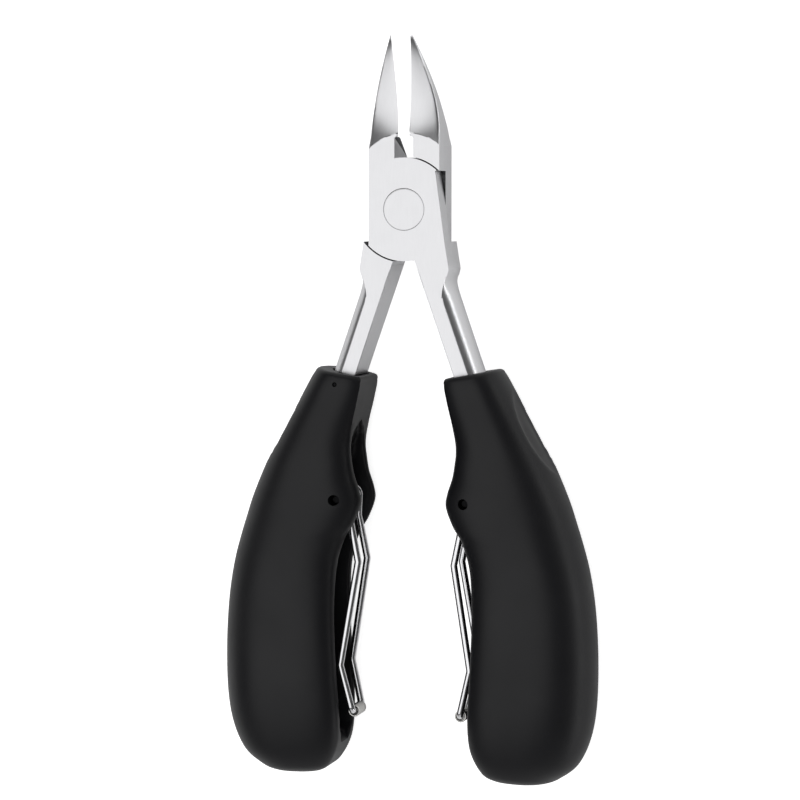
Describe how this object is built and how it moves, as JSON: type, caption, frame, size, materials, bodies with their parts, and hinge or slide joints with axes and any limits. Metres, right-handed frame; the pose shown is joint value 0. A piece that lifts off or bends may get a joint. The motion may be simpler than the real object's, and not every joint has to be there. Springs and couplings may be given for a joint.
{
  "type": "nail clipper",
  "caption": "Heavy toenail nipper: two lapped steel jaw halves on a rivet, beaked cutting jaws, curved moulded grips and folding wire springs with rollers.",
  "frame": {"origin": "on the surface the tool lies on, under the middle of its outline; the rivet's axis is 42.5 mm along +Y from it and the rivet's middle 10.5 mm up", "axes": "+Z along the rivet, out of the front face; +Y along the tool to the jaws' tips; +X to the side of the front half's grip, seen from the front with the jaws up"},
  "size_m": [0.0818, 0.1574, 0.021],
  "materials": {
    "forged_steel": "satin, with ground cutting faces and polished shanks",
    "grip_plastic": "black, smooth matt moulding",
    "pin_steel": "plain turned",
    "spring_wire": "bright drawn wire",
    "roller_metal": "bright turned"
  },
  "bodies": {
    "front_half": {"front_jaw_half": "forged_steel", "pivot_rivet": "forged_steel", "right_grip": "grip_plastic", "right_tang_pin": "pin_steel", "right_spring_pin": "pin_steel"},
    "rear_half": {"rear_jaw_half": "forged_steel", "left_grip": "grip_plastic", "left_tang_pin": "pin_steel", "left_spring_pin": "pin_steel"},
    "right_spring": {"right_spring": "spring_wire"},
    "left_spring": {"left_spring": "spring_wire"},
    "right_roller": {"right_spring_roller": "roller_metal"},
    "left_roller": {"left_spring_roller": "roller_metal"}
  },
  "joints": [
    {"name": "handle_pivot", "type": "hinge", "parent": "front_half", "child": "rear_half", "pos_m": [0, 0.0425, 0.0105], "axis": [0, 0, -1], "range_deg": [-6.2, 22]},
    {"name": "right_spring_swing", "type": "hinge", "parent": "front_half", "child": "right_spring", "pos_m": [0.0141, -0.0188, 0.0105], "axis": [0, 0, -1], "range_deg": [-8, 5.5], "stiffness_Nm_per_rad": 0.2},
    {"name": "left_spring_swing", "type": "hinge", "parent": "rear_half", "child": "left_spring", "pos_m": [-0.0141, -0.0188, 0.0105], "axis": [0, 0, 1], "range_deg": [-8, 5.5], "stiffness_Nm_per_rad": 0.2},
    {"name": "right_roller_turn", "type": "hinge", "parent": "right_spring", "child": "right_roller", "pos_m": [0.0118, -0.0649, 0.0105], "axis": [0, 0, 1], "continuous": true},
    {"name": "left_roller_turn", "type": "hinge", "parent": "left_spring", "child": "left_roller", "pos_m": [-0.0118, -0.0649, 0.0105], "axis": [0, 0, 1], "continuous": true}
  ]
}
